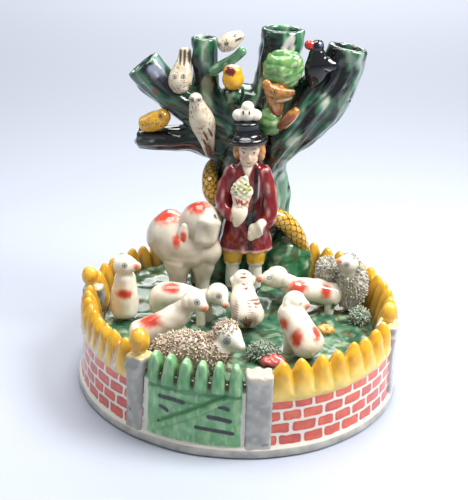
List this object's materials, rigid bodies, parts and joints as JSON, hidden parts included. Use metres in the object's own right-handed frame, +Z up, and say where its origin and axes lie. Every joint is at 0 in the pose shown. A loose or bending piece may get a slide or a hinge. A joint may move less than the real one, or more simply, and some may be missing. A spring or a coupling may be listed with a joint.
{
  "type": "spill vase",
  "caption": "Glazed earthenware spill vase: a round walled sheepfold with shepherd, flock and a hollow tree whose open branches hold spills.",
  "frame": {"origin": "centre of the round foot's underside, on the surface it stands on", "axes": "+Z up; the gated front faces -Y; +X to the viewer's right when facing the front"},
  "size_m": [0.19, 0.19, 0.1955],
  "materials": {
    "glazed_earthenware": "glossy lead glaze over painted colours"
  },
  "bodies": {
    "root": {"spill_vase": "glazed_earthenware"}
  },
  "joints": []
}
